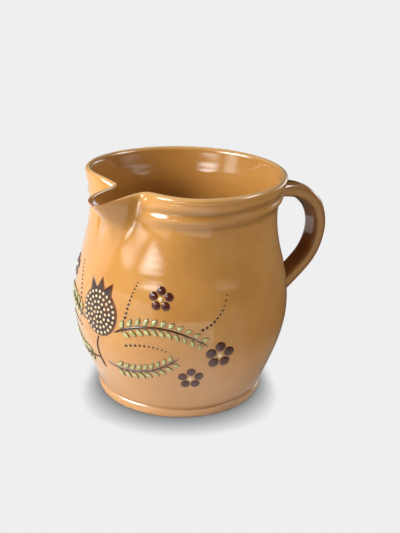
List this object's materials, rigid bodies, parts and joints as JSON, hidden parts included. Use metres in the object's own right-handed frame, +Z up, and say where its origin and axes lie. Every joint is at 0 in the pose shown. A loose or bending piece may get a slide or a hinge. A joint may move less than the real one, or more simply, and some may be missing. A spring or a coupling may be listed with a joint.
{
  "type": "slipware jug",
  "caption": "Round-bellied glazed earthenware jug with a pulled pouring lip, a strap handle and raised slip-trailed decoration under the lip.",
  "frame": {"origin": "on the turned pot's axis, in the plane of the foot that stands on the table", "axes": "+Z up the pot's axis, +X along the middle of the handle; the pouring lip points about 14 degrees past -X, turned towards -Y"},
  "size_m": [0.2155, 0.1624, 0.17],
  "materials": {
    "honey_glaze": "gloss",
    "handle_glaze": "gloss",
    "dark_slip": "gloss",
    "green_slip": "gloss",
    "seed_head_slip": "gloss",
    "cream_slip": "gloss",
    "brown_slip": "gloss"
  },
  "bodies": {
    "root": {"body": "honey_glaze", "handle": "handle_glaze", "slip_stems": "dark_slip", "slip_leaves": "green_slip", "slip_seed_head": "seed_head_slip", "slip_seed_pips": "cream_slip", "slip_petals": "brown_slip", "slip_eyes": "cream_slip", "slip_tendrils": "dark_slip"}
  },
  "joints": []
}
